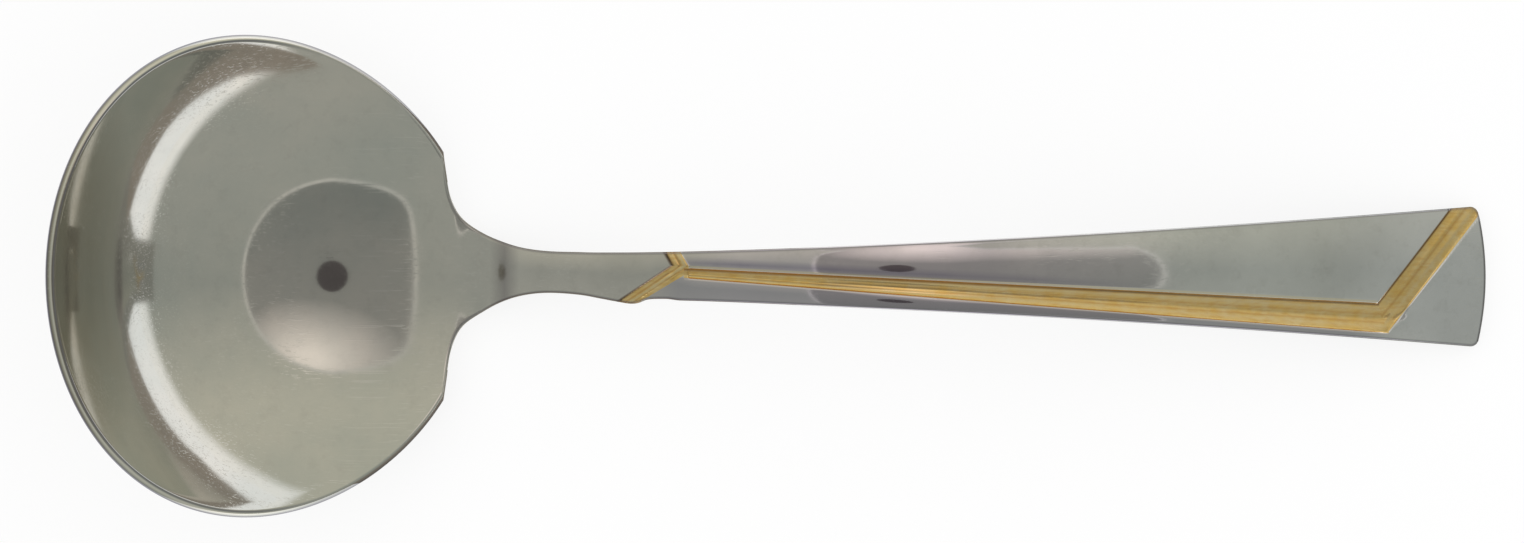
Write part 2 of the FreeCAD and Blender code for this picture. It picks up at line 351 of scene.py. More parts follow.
def bowl_place():
    """Where the bowl's middle goes, so that it rests on the table and its front is at FRONT_X."""
    x = np.linspace(0.0, HALF_LENGTH, 8001)
    lowest = np.min(dish(x, 0.0 * x, 1.0) * math.cos(TILT) - x * math.sin(TILT))
    front = tipped(rim_points(np.array([math.pi]))[1])[0, 0]
    return np.array([FRONT_X - front, 0.0, -lowest])


BOWL = bowl_place()
ROOT = tipped(np.array([egg_x(1.0), 0.0, 0.0])) + BOWL


def dish_x(x_world, y, share):
    """X in the bowl's frame of the dish point at a place in plan."""
    def short(x):
        return x * math.cos(TILT) + dish(x, y, share) * math.sin(TILT) + BOWL[0] < x_world

    return halve(np.full_like(x_world, DISH_SPAN[0]), np.full_like(x_world, DISH_SPAN[1]), short)


def dish_height(x_world, y, share):
    """Height over the table of the tipped bowl's inside or outside at a place in plan."""
    x = dish_x(x_world, y, share)
    return dish(x, y, share) * math.cos(TILT) - x * math.sin(TILT) + BOWL[2]


def on_dish(p, share):
    """Sets points of the bowl's frame on the dish, then places them in the world."""
    p = np.stack([p[..., 0], p[..., 1], dish(p[..., 0], p[..., 1], share)], -1)
    return tipped(p) + BOWL


CORNERS = [
    (ROOT[0] - ROOT_LEAD, ROOT[2] - ROOT_LEAD * ROOT_SLOPE - ROOT_SINK, 0.0, ROOT_THICKNESS),
    (ROOT[0] + BEND_RUN, ROOT[2] + BEND_RUN * ROOT_SLOPE, *NECK_BEND),
    APEX,
    KNEE,
    (END_X, TIP_THICKNESS, 0.0, TIP_THICKNESS),
]


def crest(x):
    """Height of the handle's top line, with its bends rounded by parabolas."""
    xs = [corner[0] for corner in CORNERS]
    zs = [corner[1] for corner in CORNERS]
    first_slope = (zs[1] - zs[0]) / (xs[1] - xs[0])
    height = np.where(x < xs[0], zs[0] + (x - xs[0]) * first_slope, np.interp(x, xs, zs))
    for i in range(1, len(CORNERS) - 1):
        slope_in = (zs[i] - zs[i - 1]) / (xs[i] - xs[i - 1])
        slope_out = (zs[i + 1] - zs[i]) / (xs[i + 1] - xs[i])
        reach = CORNERS[i][2] * abs(slope_in - slope_out) / 2.0
        off = np.abs(x - xs[i])
        rounding = (slope_out - slope_in) * (reach - off) ** 2 / (4.0 * reach)
        height = height + np.where(off < reach, rounding, 0.0)
    return height


def thickness(x):
    return np.interp(x, [corner[0] for corner in CORNERS], [corner[3] for corner in CORNERS])


def curve_through(points):
    """A smooth dense line through the given points of the plan."""
    p = np.array(points, float)
    p = np.concatenate([[2 * p[0] - p[1]], p, [2 * p[-1] - p[-2]]])
    knots = np.concatenate([[0.0], np.cumsum(np.sqrt(np.linalg.norm(np.diff(p, axis=0), axis=1)))])
    pieces = []
    for i in range(1, len(p) - 2):
        s = np.linspace(knots[i], knots[i + 1], CURVE_STEPS, endpoint=False)[:, None]
        k0, k1, k2, k3 = knots[i - 1:i + 3]
        a1 = mix(p[i - 1], p[i], (s - k0) / (k1 - k0))
        a2 = mix(p[i], p[i + 1], (s - k1) / (k2 - k1))
        a3 = mix(p[i + 1], p[i + 2], (s - k2) / (k3 - k2))
        b1 = mix(a1, a2, (s - k0) / (k2 - k0))
        b2 = mix(a2, a3, (s - k1) / (k3 - k1))
        pieces.append(mix(b1, b2, (s - k1) / (k2 - k1)))
    return np.concatenate(pieces + [p[-2:-1]])


UPPER_CURVE = curve_through(UPPER_FLARE)
LOWER_CURVE = curve_through(LOWER_FLARE)
FOOT_CURVE = curve_through(FOOT)
SIDE_END = END_X - TIP_BULGE - TIP_CORNER


def taper(x):
    """Half width of the handle, which widens more and more towards its end."""
    t = np.clip((x - TAPER_X) / (END_X - TAPER_X), 0.0, None)
    return NECK_HALF_WIDTH + (TIP_HALF_WIDTH - NECK_HALF_WIDTH) * t ** TAPER_POWER


def joined(before, after, x, place, half):
    """One line that goes over from before to after round a place."""
    return mix(before, after, smoothstep(place - half, place + half, x))


def upper_side(x):
    """The outline's upper side in plan: the flare, then the taper."""
    flare = np.interp(x, UPPER_CURVE[:, 0], UPPER_CURVE[:, 1])
    return joined(flare, taper(x), x, NECK_JOIN, UPPER_JOIN_HALF)


def lower_side(x):
    """The outline's lower side in plan: the flare, the chevron's foot, then the taper."""
    flare = np.interp(x, LOWER_CURVE[:, 0], LOWER_CURVE[:, 1])
    foot = np.interp(x, FOOT_CURVE[:, 0], FOOT_CURVE[:, 1])
    long_side = -taper(x) - LOWER_EXTRA * smoothstep(FOOT_JOIN, APEX[0], x)
    side = joined(flare, foot, x, NECK_JOIN, LOWER_JOIN_HALF)
    return joined(side, long_side, x, FOOT_JOIN, FOOT_JOIN_HALF)


def side_line(curve, side_of, sign):
    """The outline from a shoulder to the corner at the end, drawn in by the rounding of the edge."""
    x = np.arange(NECK_JOIN - UPPER_JOIN_HALF, SIDE_END + SIDE_STEP / 2.0, SIDE_STEP)
    start = curve[curve[:, 0] < x[0] - SIDE_STEP / 2.0]
    line = np.concatenate([start, np.stack([x, side_of(x)], -1)])
    along = np.gradient(line, axis=0)
    outward = unit(np.stack([-along[:, 1], along[:, 0]], -1)) * sign
    return line - outward * EDGE_ROUND


UPPER_LINE = side_line(UPPER_CURVE, upper_side, 1.0)
LOWER_LINE = side_line(LOWER_CURVE, lower_side, -1.0)


def upper_y(x):
    return np.interp(x, UPPER_LINE[:, 0], UPPER_LINE[:, 1])


def lower_y(x):
    return np.interp(x, LOWER_LINE[:, 0], LOWER_LINE[:, 1])


def stripe_line(x, ends):
    """Y of one of the stripe's long lines, from its y at either end of the stripe."""
    t = (x - STRIPE_X[0]) / (STRIPE_X[1] - STRIPE_X[0])
    return mix(ends[0], ends[1], t)


def slash_x(y):
    return STRIPE_X[1] + SLASH_SLOPE * (y - STEP_Y[1])


def slash_right(y):
    return np.minimum(slash_x(y) + SLASH_WIDTH, SLASH_STOP)


def chevron_x(y, corner):
    """X of one of the chevron's two bent sides."""
    below = corner[0] + (y - corner[1]) * CHEVRON_LOW_LEAN
    above = corner[0] - (y - corner[1]) * CHEVRON_HIGH_LEAN
    return np.where(y < corner[1], below, above)


def ramp(distance):
    """A struck wall: 0 before a line and 1 past it."""
    return smoothstep(-RELIEF_WALL / 2.0, RELIEF_WALL / 2.0, distance)


def flutes(share):
    """Round grooves side by side over a share of the stripe's width."""
    part = (np.clip(share, 0.0, 1.0) * FLUTES) % 1.0
    return 4.0 * part * (1.0 - part)


def facets(x, y):
    """The two crowned facets either side of the stripe, between a plain neck and a plain end."""
    high, low = upper_side(x), lower_side(x)
    step, gold = stripe_line(x, STEP_Y), stripe_line(x, GOLD_Y)
    top = FACET_TOP_Y - FACET_TOP_LEAN * (x - APEX[0])
    least_radius = (high - top) ** 2 / (2.0 * UPPER_MOST_DROP)
    upper_radius = np.maximum(UPPER_ROUNDNESS * (high - step), least_radius)
    upper = -(y - top) ** 2 / (2.0 * upper_radius)
    lip = -(step - top) ** 2 / (2.0 * upper_radius)
    low_top = mix(gold, low, LOWER_TOP_SHARE)
    lower_radius = LOWER_ROUNDNESS * np.maximum(gold - low, 1.0)
    lower = lip - LOWER_DROP - ((y - low_top) ** 2 - (gold - low_top) ** 2) / (2.0 * lower_radius)
    both = mix(lower, upper, smoothstep(0.0, 1.0, (y - gold) / (step - gold)))
    middle = (high + low) / 2.0
    neck = -NECK_CROWN * ((y - middle) / ((high - low) / 2.0)) ** 2
    end = -y * y / (2.0 * TIP_CROWN) - TIP_DROP
    right = slash_right(y)
    form = mix(neck, both, smoothstep(*FACET_X, x))
    return mix(form, end, smoothstep(right + TIP_FADE[0], right + TIP_FADE[1], x))


def relief(x, y):
    """Sunk gold stripe with its flutes, and the raised chevron where it starts."""
    step, gold = stripe_line(x, STEP_Y), stripe_line(x, GOLD_Y)
    past = x - slash_x(y)
    long_part = ramp(step - y) * ramp(y - gold) * ramp(x - STRIPE_X[0]) * ramp(-past + RELIEF_WALL)
    slash_part = ramp(past * SLASH_SQUARE) * ramp((slash_right(y) - x) * SLASH_SQUARE) * ramp(y - gold)
    before_mitre = x < STRIPE_X[1] + MITRE * (STEP_Y[1] - y)
    share = np.where(before_mitre, (y - gold) / (step - gold), past / SLASH_WIDTH)
    left, right = chevron_x(y, CHEVRON_LEFT), chevron_x(y, CHEVRON_RIGHT)
    square = np.where(y < CHEVRON_LEFT[1], CHEVRON_LOW_SQUARE, CHEVRON_HIGH_SQUARE)
    bead = ramp((x - left) * square) * ramp((right - x) * square)
    groove = np.exp(-(((x - left) / (right - left) - 0.5) / CHEVRON_GROOVE_WIDTH) ** 2)
    raised = bead * (CHEVRON_RISE - CHEVRON_GROOVE_DEPTH * groove)
    sunk = np.maximum(long_part, slash_part) * (1.0 - bead)
    return raised - sunk * (RECESS + FLUTE_DEPTH * flutes(share))


def from_dish(x, y, share, handle_part):
    """Height that goes over from the bowl's wall to the handle past the shoulders."""
    start = ROOT[0] + BLEND_START
    bowl_part = dish_height(np.minimum(x, start + BLEND_RUN), y, share)
    return mix(bowl_part, handle_part, smoothstep(0.0, BLEND_RUN, x - start))


def top_height(x, y):
    return from_dish(x, y, 0.0, crest(x) + facets(x, y) + relief(x, y))


def under_height(x, y):
    return from_dish(x, y, 1.0, crest(x) - thickness(x))


def patch(front, back, upper, lower):
    """Points of a four-sided area from its edges, blended evenly between them."""
    u = np.linspace(0.0, 1.0, len(upper))[:, None, None]
    v = np.linspace(0.0, 1.0, len(front))[None, :, None]
    sides = mix(upper[:, None], lower[:, None], v)
    ends = mix(front[None], back[None], u)
    flat = mix(mix(front[0], front[-1], v), mix(back[0], back[-1], v), u)
    return sides + ends - flat


def rim_edge(angle, share):
    """The rim's inner (share 0) or outer (share 1) edge, drawn down the wall by the edge's rounding."""
    inner, outer, down = rim_points(angle)
    return (outer if share else inner) - down * RIM_ROUND


def bowl_area(share, last_angle):
    """Rows of the bowl's inside or outside, from the front to the line between the shoulders."""
    front_angle = np.linspace(FRONT_CORNER, 2.0 * math.pi - FRONT_CORNER, COLUMNS + 1)
    side_angle = np.linspace(FRONT_CORNER, last_angle, BOWL_ROWS + 1)
    front = rim_edge(front_angle, share)[:, :2]
    upper = rim_edge(side_angle, share)[:, :2]
    lower = upper * [1.0, -1.0]
    ends = on_dish(upper[-1:], share)
    y = np.linspace(upper[-1, 1], lower[-1, 1], COLUMNS + 1)
    back = np.stack([dish_x(np.full_like(y, ends[0, 0]), y, share), y], -1)
    return on_dish(patch(front, back, upper, lower), share)


def flare_start(share):
    """Angle at which the rim's inner or outer edge meets the flare, and that place on the flare."""
    angle = np.linspace(math.radians(40.0), math.radians(20.0), 2001)
    edge = on_dish(rim_edge(angle, share), share)
    line_x = np.interp(-edge[:, 1], -UPPER_LINE[:, 1], UPPER_LINE[:, 0])
    first = int(np.argmax(edge[:, 0] > line_x))
    return angle[first], edge[first]


def row_shares(x):
    """Share of the way across at which each column runs, even in the bowl and along the stripe later."""
    high, low = upper_y(x), lower_y(x)
    step, gold = stripe_line(x, STEP_Y), stripe_line(x, GOLD_Y)
    half = RELIEF_WALL / 2.0
    stops = [high, step + half, step - half, gold + half, gold - half, low]
    y = [stops[0]]
    for a, b, count in zip(stops, stops[1:], COLUMN_RUNS):
        y.extend(a + (b - a) * (k + 1) / count for k in range(count))
    stripe = (high - np.array(y)) / (high - low)
    even = np.linspace(0.0, 1.0, COLUMNS + 1)
    return mix(even, stripe, smoothstep(*COLUMN_FADE_X, x))


def straight_row(x):
    y = mix(upper_y(x), lower_y(x), row_shares(x))
    return np.stack([np.full_like(y, x), y], -1)


def slanted_row(start, lean):
    """A row leaning like the slash."""
    x = np.full(COLUMNS + 1, start)
    for _ in range(8):
        y = np.array([mix(upper_y(v), lower_y(v), row_shares(v)[j]) for j, v in enumerate(x)])
        x = start + lean * SLASH_SLOPE * (y - STEP_Y[1])
    return np.stack([x, y], -1)


def end_row():
    """The rounded end, from the middle of one corner's arc to the middle of the other's."""
    radius = TIP_CORNER - EDGE_ROUND
    high, low = UPPER_LINE[-1, 1], LOWER_LINE[-1, 1]
    eighth = np.linspace(math.pi / 4.0, 0.0, 12)
    arc_x = SIDE_END + radius * np.cos(eighth)
    upper = np.stack([arc_x, high - radius + radius * np.sin(eighth)], -1)
    lower = np.stack([arc_x, low + radius - radius * np.sin(eighth)], -1)[::-1]
    y = np.linspace(upper[-1, 1], lower[0, 1], 80)[1:-1]
    swell = 1.0 - ((y - (high + low) / 2.0) / ((high - low) / 2.0 - radius)) ** 2
    face = np.stack([SIDE_END + radius + TIP_BULGE * swell, y], -1)
    return resample(np.concatenate([upper, face, lower]), COLUMNS + 1)


def corner_run(line, sign, start_x):
    """A side's outline from the last leaning row to the middle of the corner's arc."""
    radius = TIP_CORNER - EDGE_ROUND
    eighth = np.linspace(math.pi / 2.0, math.pi / 4.0, 12)[1:]
    side = line[line[:, 0] > start_x]
    first = np.array([[start_x, np.interp(start_x, line[:, 0], line[:, 1])]])
    middle = line[-1, 1] - sign * radius
    arc = np.stack([SIDE_END + radius * np.cos(eighth), middle + sign * radius * np.sin(eighth)], -1)
    return np.concatenate([first, side, arc])


def run_along(line):
    """Length along a line from its start to each of its points."""
    return np.concatenate([[0.0], np.cumsum(np.linalg.norm(np.diff(line, axis=0), axis=1))])


def resample(line, count):
    """The same line with a number of evenly spaced points."""
    length = run_along(line)
    want = np.linspace(0.0, length[-1], count)
    return np.stack([np.interp(want, length, line[:, 0]), np.interp(want, length, line[:, 1])], -1)


def handle_rows():
    """Plan rows of the handle from the neck to the end."""
    chevron = np.arange(HANDLE_START, CHEVRON_END, CHEVRON_STEP)
    stripe = np.arange(CHEVRON_END, SLASH_START, STRIPE_STEP)
    slash = np.arange(SLASH_START, STRIPE_X[1] - 2.0 * LAST_ROW_GAP, SLASH_STEP)
    starts = np.concatenate([chevron, stripe, slash, [STRIPE_X[1] - LAST_ROW_GAP]])
    rows = [slanted_row(start, float(smoothstep(*LEAN_X, start))) for start in starts]
    edge = rows[-1]
    upper = resample(corner_run(UPPER_LINE, 1.0, edge[0, 0]), END_ROWS)
    lower = resample(corner_run(LOWER_LINE, -1.0, edge[-1, 0]), END_ROWS)
    return np.concatenate([np.array(rows), patch(edge, end_row(), upper, lower)[1:]])


def flare_rows(first):
    """Plan rows of the flare, evenly spaced along its edge from a first place."""
    line = UPPER_LINE[UPPER_LINE[:, 1] < first[1] - 0.02]
    line = line[line[:, 0] < HANDLE_START]
    line = np.concatenate([[first[:2]], line, [[HANDLE_START, upper_y(HANDLE_START)]]])
    length = run_along(line)
    want = np.linspace(0.0, length[-1], FLARE_ROWS + 1)[1:-1]
    return np.array([straight_row(x) for x in np.interp(want, length, line[:, 0])])


def surface_points():
    """Top and bottom points of the whole ladle as two grids of the same size."""
    handle = handle_rows()
    grids = []
    for share, height in ((0, top_height), (1, under_height)):
        angle, place = flare_start(share)
        plan = np.concatenate([flare_rows(place), handle])
        z = height(plan[..., 0], plan[..., 1])
        rest = np.concatenate([plan, z[..., None]], -1)
        grids.append(np.concatenate([bowl_area(share, angle), rest]))
    return grids


def edge_loop(rows):
    """Grid places round the edge: front, upper side, end and lower side."""
    front = [(0, j) for j in range(COLUMNS, 0, -1)]
    upper = [(i, 0) for i in range(rows - 1)]
    end = [(rows - 1, j) for j in range(COLUMNS)]
    lower = [(i, COLUMNS) for i in range(rows - 1, 0, -1)]
    return front + upper + end + lower


def tipped_back(points):
    """Points of the world in the bowl's own frame."""
    p = points - BOWL
    x, y, z = p[..., 0], p[..., 1], p[..., 2]
    forward = x * math.cos(TILT) - z * math.sin(TILT)
    return np.stack([forward, y, z * math.cos(TILT) + x * math.sin(TILT)], -1)


def edge_directions(loop, top):
    """Outward direction and rounding at each place of the edge: along the wall at the rim, level later."""
    points = np.array([top[place] for place in loop])
    along = np.roll(points, -1, 0) - np.roll(points, 1, 0)
    level = unit(np.stack([-along[:, 1], along[:, 0], 0.0 * along[:, 0]], -1))
    back = tipped_back(points)
    slope_x, slope_y = dish_slope(back[:, 0], back[:, 1])
    wall = tipped(unit(np.stack([slope_x, slope_y, slope_x ** 2 + slope_y ** 2], -1)))
    past_shoulder = points[:, 0] - top[BOWL_ROWS, 0, 0]
    share = smoothstep(*SHOULDER_FADE, past_shoulder)[:, None]
    share[[k for k, place in enumerate(loop) if place[0] > BOWL_ROWS]] = 1.0
    return unit(mix(wall, level, share)), mix(RIM_ROUND, EDGE_ROUND, share)


def edge_rings(loop, top, under):
    """Rings of points that round the edge over from the top grid's border to the under grid's."""
    start = np.array([top[place] for place in loop])
    stop = np.array([under[place] for place in loop])
    outward, radius = edge_directions(loop, top)
    across = unit(stop - start)
    outward = unit(outward - across * np.sum(outward * across, 1, keepdims=True))
    turns = np.linspace(0.0, math.pi / 2.0, EDGE_STEPS + 1)[1:]
    rings = []
    for base, inward, order in ((start, across, turns), (stop, -across, turns[::-1])):
        for turn in order:
            rings.append(base + radius * (math.sin(turn) * outward + (1.0 - math.cos(turn)) * inward))
    return rings


def painted_edge_levels(x):
    """Painted shade 0, plain 0.5 or painted highlight 1 for each place of each ring of the edge, from the
    top downwards.
    """
    front = 1.0 - smoothstep(RIM_TONES[0], RIM_TONES[1], x)
    handle = smoothstep(RIM_TONES[2], RIM_TONES[3], x)
    tones = []
    for at_front, at_rear, at_handle in EDGE_RINGS:
        tone = mix(at_rear, at_front, front)
        tones.append(mix(tone, at_handle, handle))
    return np.concatenate(tones)


def ladle_mesh():
    """Points, faces and shares for the material of one closed mesh: top, underside and rounded edge."""
    top, under = surface_points()
    rows, width = len(top), COLUMNS + 1
    size = rows * width
    i, j = np.meshgrid(np.arange(rows - 1), np.arange(COLUMNS), indexing="ij")
    a = (i * width + j).ravel()
    quads_top = np.stack([a, a + 1, a + width + 1, a + width], -1)
    quads_under = quads_top[:, ::-1] + size
    loop = edge_loop(rows)
    rings = edge_rings(loop, top, under)
    border = np.array([r * width + c for r, c in loop])
    numbers = [border]
    numbers.extend(2 * size + k * len(loop) + np.arange(len(loop)) for k in range(len(rings)))
    numbers.append(border + size)
    strips = [np.stack([near, np.roll(near, -1), np.roll(far, -1), far], -1)
              for near, far in zip(numbers, numbers[1:])]
    vertices = np.concatenate([top.reshape(-1, 3), under.reshape(-1, 3)] + rings) * MM
    faces = np.concatenate([quads_top, quads_under] + strips)
    half = EDGE_STEPS * len(loop)
    # Levels of the painted shade and highlight lines round the edge
    tones = np.concatenate([np.full(2 * size, 0.5), painted_edge_levels(top.reshape(-1, 3)[border, 0])])
    on_top = np.concatenate([np.ones(size), np.zeros(size), np.ones(half), np.zeros(half)])
    return vertices, faces, {"edge_tone": tones, "top_side": on_top}


def add_mesh(name, vertices, faces):
    mesh = bpy.data.meshes.new(name)
    mesh.from_pydata([tuple(v) for v in vertices], [], [tuple(int(k) for k in f) for f in faces])
    mesh.update()
    obj = bpy.data.objects.new(name, mesh)
    bpy.context.scene.collection.objects.link(obj)
    return obj


class Graph:
    """Short words for building a material's nodes."""

    def __init__(self, tree):
        self.tree = tree
        tree.nodes.clear()

    def node(self, kind, **settings):
        node = self.tree.nodes.new(kind)
        for key, value in settings.items():
            setattr(node, key, value)
        return node

    def put(self, value, socket):
        """Links a socket to a value, or sets it where the value is a number or a colour."""
        if isinstance(value, bpy.types.NodeSocket):
            self.tree.links.new(value, socket)
        else:
            socket.default_value = value

    def math(self, operation, *values, clamp=False):
        node = self.node("ShaderNodeMath", operation=operation, use_clamp=clamp)
        for value, socket in zip(values, node.inputs):
            self.put(value, socket)
        return node.outputs[0]

    def add(self, a, b):
        return self.math("ADD", a, b)

    def sub(self, a, b):
        return self.math("SUBTRACT", a, b)

    def mul(self, *values):
        product = values[0]
        for value in values[1:]:
            product = self.math("MULTIPLY", product, value)
        return product

    def step(self, value, width=0.05):
        """0 below zero and 1 above it, softened over a width."""
        return self.math("ADD", self.mul(value, 1.0 / width), 0.5, clamp=True)

    def ramp(self, value, low, high, out_low=0.0, out_high=1.0):
        """Goes evenly from one outcome at low to another at high, and stays there past them."""
        node = self.node("ShaderNodeMapRange", clamp=True)
        for number, socket in zip((value, low, high, out_low, out_high), node.inputs):
            self.put(number, socket)
        return node.outputs[0]

    def band(self, value, middle, half):
        """1 at a middle value, fading to 0 half a width to either side."""
        return self.ramp(self.math("ABSOLUTE", self.sub(value, middle)), 0.0, half, 1.0, 0.0)

    def mix_color(self, share, a, b):
        node = self.node("ShaderNodeMix", data_type="RGBA")
        self.put(share, node.inputs["Factor"])
        self.put(a, node.inputs[6])
        self.put(b, node.inputs[7])
        return node.outputs[2]

    def place(self, kind="Object"):
        """A place or direction, and its x, y and z."""
        place = self.node("ShaderNodeTexCoord").outputs[kind]
        split = self.node("ShaderNodeSeparateXYZ")
        self.put(place, split.inputs[0])
        return place, split.outputs

    def share(self, name):
        """A value that the mesh carries at each of its points."""
        return self.node("ShaderNodeAttribute", attribute_name=name).outputs["Fac"]

    def noise(self, vector, scale, detail=2.0, roughness=0.5):
        node = self.node("ShaderNodeTexNoise")
        self.put(vector, node.inputs["Vector"])
        self.put(scale, node.inputs["Scale"])
        self.put(detail, node.inputs["Detail"])
        self.put(roughness, node.inputs["Roughness"])
        return node.outputs["Fac"]

    def turned(self, vector, angle, scale):
        """A place turned by an angle and stretched, for patterns that run one way."""
        node = self.node("ShaderNodeMapping")
        self.put(vector, node.inputs["Vector"])
        node.inputs["Rotation"].default_value = (0.0, 0.0, math.radians(angle))
        node.inputs["Scale"].default_value = scale
        return node.outputs["Vector"]

    def finish(self, kind, shader):
        """Ends the nodes in a material's or world's output."""
        out = self.node(kind)
        self.put(shader.outputs[0], out.inputs[0])


def new_material(name):
    material = bpy.data.materials.new(name)
    material.use_nodes = True
    return material, Graph(material.node_tree)


def stripe_places(g, x, y):
    """Where a place is on the stripe, the slash and the chevron, in millimetres past each line."""
    t = g.mul(g.sub(x, STRIPE_X[0]), 1.0 / (STRIPE_X[1] - STRIPE_X[0]))
    step = g.add(g.mul(t, STEP_Y[1] - STEP_Y[0]), STEP_Y[0])
    gold = g.add(g.mul(t, GOLD_Y[1] - GOLD_Y[0]), GOLD_Y[0])
    past = g.sub(x, g.add(g.mul(g.sub(y, STEP_Y[1]), SLASH_SLOPE), STRIPE_X[1]))
    mitre = g.sub(g.add(g.mul(g.sub(STEP_Y[1], y), MITRE), STRIPE_X[1]), x)
    on_long = g.mul(g.step(g.sub(x, STRIPE_X[0] - GOLD_LEAD)), g.step(g.add(mitre, GOLD_OVERLAP)))
    chevron = []
    for corner in (CHEVRON_LEFT, CHEVRON_RIGHT):
        off = g.sub(y, corner[1])
        low = g.mul(g.math("MINIMUM", off, 0.0), CHEVRON_LOW_LEAN)
        high = g.mul(g.math("MAXIMUM", off, 0.0), -CHEVRON_HIGH_LEAN)
        chevron.append(g.sub(x, g.add(g.add(low, high), corner[0])))
    return {"step": step, "gold": gold, "past": past, "mitre": mitre, "on_long": on_long,
            "left": chevron[0], "right": chevron[1]}


def gold_parts(g, x, y, at):
    """Masks of the gold on the long stripe, on the slash and on the chevron."""
    long_part = g.mul(g.step(g.sub(at["step"], y)), g.step(g.sub(y, at["gold"])), at["on_long"])
    slash = g.mul(g.step(at["past"]), g.step(g.sub(SLASH_WIDTH, at["past"])),
                  g.step(g.sub(GOLD_OVERLAP, at["mitre"])))
    slash = g.mul(slash, g.mul(g.step(g.sub(y, at["gold"])), g.step(g.sub(SLASH_STOP, x))))
    foot_edge = g.add(g.mul(g.sub(y, CHEVRON_GOLD[1]), CHEVRON_GOLD_LEAN), CHEVRON_GOLD[0])
    foot = g.math("MINIMUM", g.sub(foot_edge, x), g.sub(CHEVRON_RIGHT[1], y))
    inner = g.math("MAXIMUM", g.mul(at["right"], -1.0), foot)
    bead = g.mul(g.step(at["left"]), g.mul(g.step(inner), g.step(g.sub(CHEVRON_RIGHT[0], x))))
    return long_part, slash, g.mul(bead, g.step(g.sub(x, FOOT_START)))


def gold_color(g, x, y, place, at, parts):
    """Worn gold, with painted shade in the step, painted shade lines along the flutes and painted highlight
    lines between them.
    """
    long_part, slash, bead = parts
    across = g.math("DIVIDE", g.sub(y, at["gold"]), g.sub(at["step"], at["gold"]))
    across_slash = g.mul(at["past"], 1.0 / SLASH_WIDTH)
    across_bead = g.mul(at["left"], 1.0 / (CHEVRON_RIGHT[0] - CHEVRON_LEFT[0]))
    worn = g.ramp(g.noise(place, WEAR_SCALE, 5.0, 0.65), 0.35, 0.7)
    streak = g.ramp(g.noise(g.turned(place, STREAK_ANGLE, STREAK_SCALE), 1.0, 2.0, 0.5), 0.45, 0.7)
    color = g.mix_color(worn, GOLD, GOLD_WORN)
    color = g.mix_color(g.mul(streak, 0.45), color, GOLD_STREAK)
    step_shade = g.mix_color(g.ramp(x, *STEP_SHADE_X), STEP_SHADE_ORANGE, STEP_SHADE)
    # Painted shade lines and painted highlight lines on the relief, and painted shade in the step
    lines = [
        (across, 0.34, 0.06, long_part, GOLD_PAINTED_SHADE, 0.32),
        (across, 0.62, 0.07, long_part, GOLD_PAINTED_SHADE, 0.28),
        (across, 0.2, 0.1, long_part, PALE_GOLD_AND_PAINTED_HIGHLIGHT, 0.3),
        (across, 0.80, 0.1, long_part, PALE_GOLD_AND_PAINTED_HIGHLIGHT, 0.35),
        (g.sub(at["step"], y), 0.15, 0.26, long_part, step_shade, 0.9),
        (across_slash, 0.45, 0.08, slash, GOLD_PAINTED_SHADE, 0.4),
        (across_slash, 0.72, 0.12, slash, PALE_GOLD_AND_PAINTED_HIGHLIGHT, 0.3),
        (at["past"], 0.1, 0.3, slash, STEP_SHADE, 0.9),
        (across_bead, 0.5, 0.15, bead, GOLD_PAINTED_SHADE, 0.5),
        (across_bead, 0.78, 0.16, bead, PALE_GOLD_AND_PAINTED_HIGHLIGHT, 0.6),
        (across_bead, 0.0, 0.18, bead, STEP_SHADE, 0.9),
        (across_bead, 1.0, 0.1, bead, STEP_SHADE, 0.3),
    ]
    for value, middle, half, part, shade, amount in lines:
        color = g.mix_color(g.mul(g.band(value, middle, half), part, amount), color, shade)
    return color


def scratch_lines(g, place, haze):
    """Long fine scratches that run three ways, thicker where the steel is hazy."""
    scratches = 0.0
    for angle, scale, cut in SCRATCH_RUNS:
        run = g.noise(g.turned(place, angle, scale), 1.0, 1.0, 0.4)
        scratches = g.math("MAXIMUM", scratches, g.ramp(run, cut, cut + 0.04))
    return g.mul(scratches, g.ramp(haze, 0.42, 0.58))


def plain_steel(g, x, place, cloud, scratches):
    """Cloudy steel whose tone changes along the ladle as painted reflection tints, with a painted dark
    reflection at the bowl's front, painted shade at the neck, scratches and mottling.
    """
    patches = g.ramp(cloud, 0.32, 0.68)
    steel = g.mix_color(patches, *STEEL_BOWL)
    # Painted reflection tints that take over one after another along the ladle
    for span, dark, light in STEEL_PAINTED_REFLECTIONS:
        steel = g.mix_color(g.ramp(x, *span), steel, g.mix_color(patches, dark, light))
    # Painted dark reflection towards the bowl's front end, patchy by the cloud
    front_dark = g.mul(g.ramp(x, *FRONT_PAINTED_DARK_X), g.ramp(cloud, 0.25, 0.6, 0.55, 1.0))
    steel = g.mix_color(front_dark, steel, FRONT_PAINTED_DARK)
    steel = g.mix_color(g.mul(g.band(x, NECK_SHADE_X, NECK_SHADE_HALF), 0.6), steel, NECK_SHADE)
    steel = g.mix_color(g.mul(scratches, 0.3), steel, SCRATCH)
    mottle = g.noise(place, MOTTLE_SCALE, 4.0, 0.7)
    return g.mix_color(g.ramp(mottle, 0.52, 0.75, 0.0, 0.22), steel, MOTTLE)


